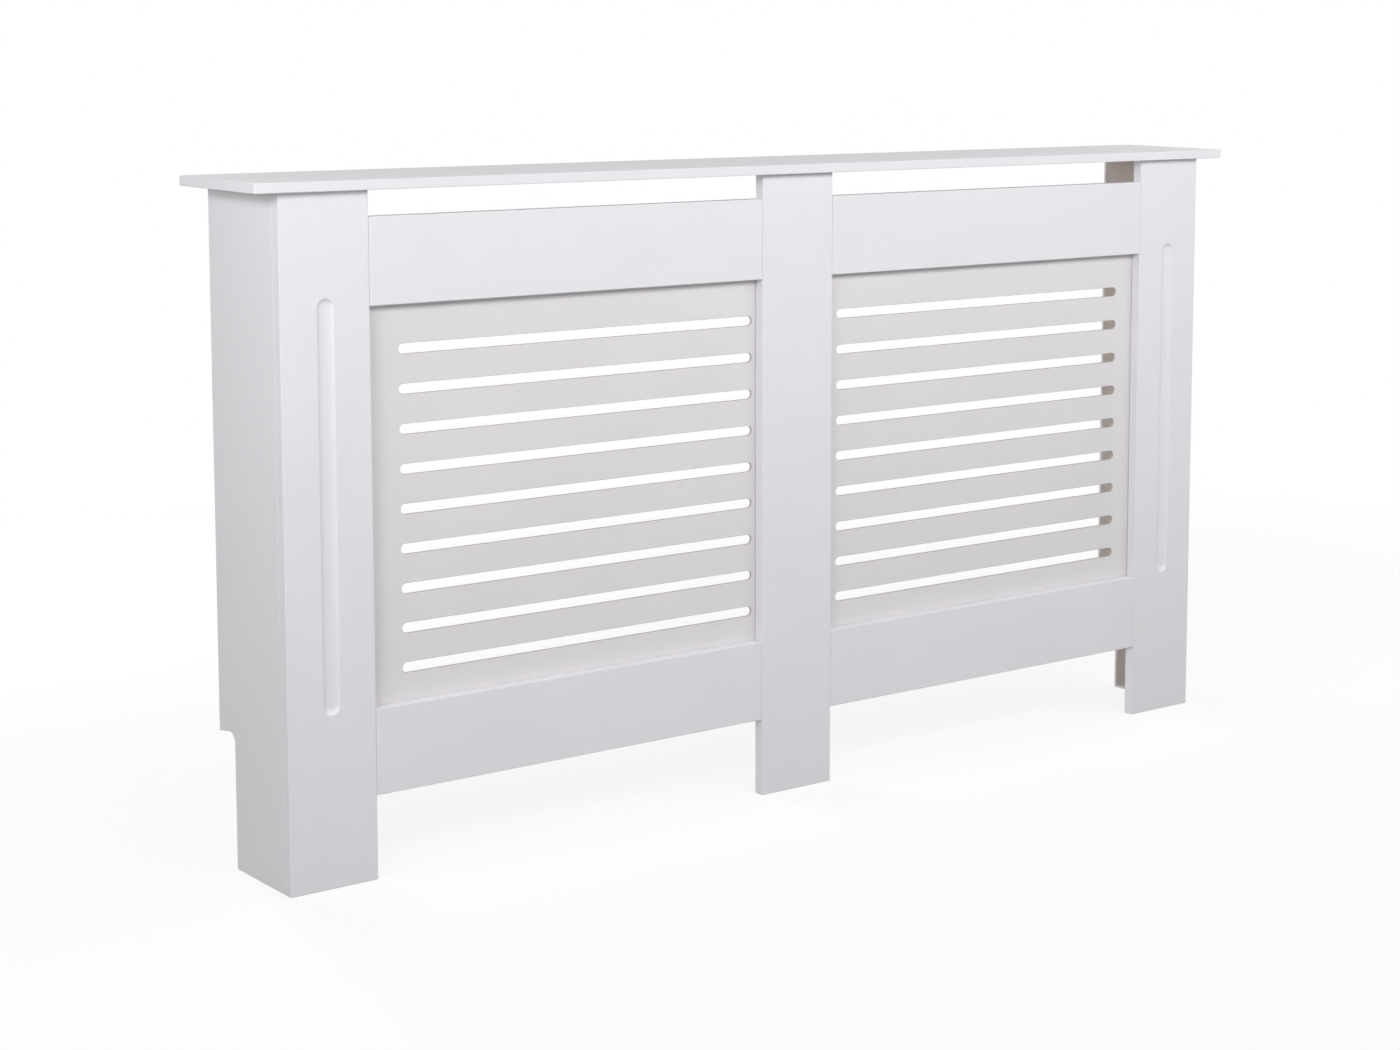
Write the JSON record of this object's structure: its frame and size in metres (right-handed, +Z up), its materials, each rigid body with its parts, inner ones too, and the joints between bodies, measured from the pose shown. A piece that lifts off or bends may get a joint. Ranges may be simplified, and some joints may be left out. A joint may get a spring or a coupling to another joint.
{
  "type": "radiator cover cabinet",
  "caption": "White flat-pack radiator cover: a shelf on side panels and a framed front with slotted grilles, open at the back, at the top gap and beneath.",
  "frame": {"origin": "on the floor under the middle of the shelf: the bottom centre of the bounding box", "axes": "+X to the right seen from the front, -Y out of the front, +Z up; the wall is the plane Y = +0.095"},
  "size_m": [1.52, 0.19, 0.815],
  "materials": {
    "white_paint": "satin white paint over 15 mm fibreboard, bare grey-brown board inside",
    "grille_paint": "satin white paint over 4 mm fibreboard, bare grey-brown board inside",
    "zinc_casting": "die-cast zinc, dull",
    "plated_steel": "zinc-plated steel",
    "beech": "bare beech"
  },
  "bodies": {
    "root": {"bolt_centre_post_to_shelf": "plated_steel", "bolt_rail_lower_left_inner": "plated_steel", "bolt_rail_lower_left_outer": "plated_steel", "bolt_rail_lower_right_inner": "plated_steel", "bolt_rail_lower_right_outer": "plated_steel", "bolt_rail_upper_left_inner": "plated_steel", "bolt_rail_upper_left_outer": "plated_steel", "bolt_rail_upper_right_inner": "plated_steel", "bolt_rail_upper_right_outer": "plated_steel", "bolt_side_panel_left_to_post_lower": "plated_steel", "bolt_side_panel_left_to_post_upper": "plated_steel", "bolt_side_panel_left_to_shelf": "plated_steel", "bolt_side_panel_right_to_post_lower": "plated_steel", "bolt_side_panel_right_to_post_upper": "plated_steel", "bolt_side_panel_right_to_shelf": "plated_steel", "bracket_screw_left": "plated_steel", "bracket_screw_right": "plated_steel", "cam_centre_post_to_shelf": "zinc_casting", "cam_rail_lower_left_inner": "zinc_casting", "cam_rail_lower_left_outer": "zinc_casting", "cam_rail_lower_right_inner": "zinc_casting", "cam_rail_lower_right_outer": "zinc_casting", "cam_rail_upper_left_inner": "zinc_casting", "cam_rail_upper_left_outer": "zinc_casting", "cam_rail_upper_right_inner": "zinc_casting", "cam_rail_upper_right_outer": "zinc_casting", "cam_side_panel_left_to_post_lower": "zinc_casting", "cam_side_panel_left_to_post_upper": "zinc_casting", "cam_side_panel_left_to_shelf": "zinc_casting", "cam_side_panel_right_to_post_lower": "zinc_casting", "cam_side_panel_right_to_post_upper": "zinc_casting", "cam_side_panel_right_to_shelf": "zinc_casting", "dowel_centre_post_to_shelf_left": "beech", "dowel_centre_post_to_shelf_right": "beech", "dowel_rail_lower_left_inner": "beech", "dowel_rail_lower_left_outer": "beech", "dowel_rail_lower_right_inner": "beech", "dowel_rail_lower_right_outer": "beech", "dowel_rail_upper_left_inner": "beech", "dowel_rail_upper_left_outer": "beech", "dowel_rail_upper_right_inner": "beech", "dowel_rail_upper_right_outer": "beech", "dowel_side_panel_left_to_post": "beech", "dowel_side_panel_left_to_shelf": "beech", "dowel_side_panel_right_to_post": "beech", "dowel_side_panel_right_to_shelf": "beech", "grille_left": "grille_paint", "grille_right": "grille_paint", "post_centre": "white_paint", "post_left": "white_paint", "post_right": "white_paint", "rail_lower_left": "white_paint", "rail_lower_right": "white_paint", "rail_upper_left": "white_paint", "rail_upper_right": "white_paint", "shelf": "white_paint", "side_panel_left": "white_paint", "side_panel_right": "white_paint", "wall_bracket_left": "plated_steel", "wall_bracket_right": "plated_steel"}
  },
  "joints": []
}
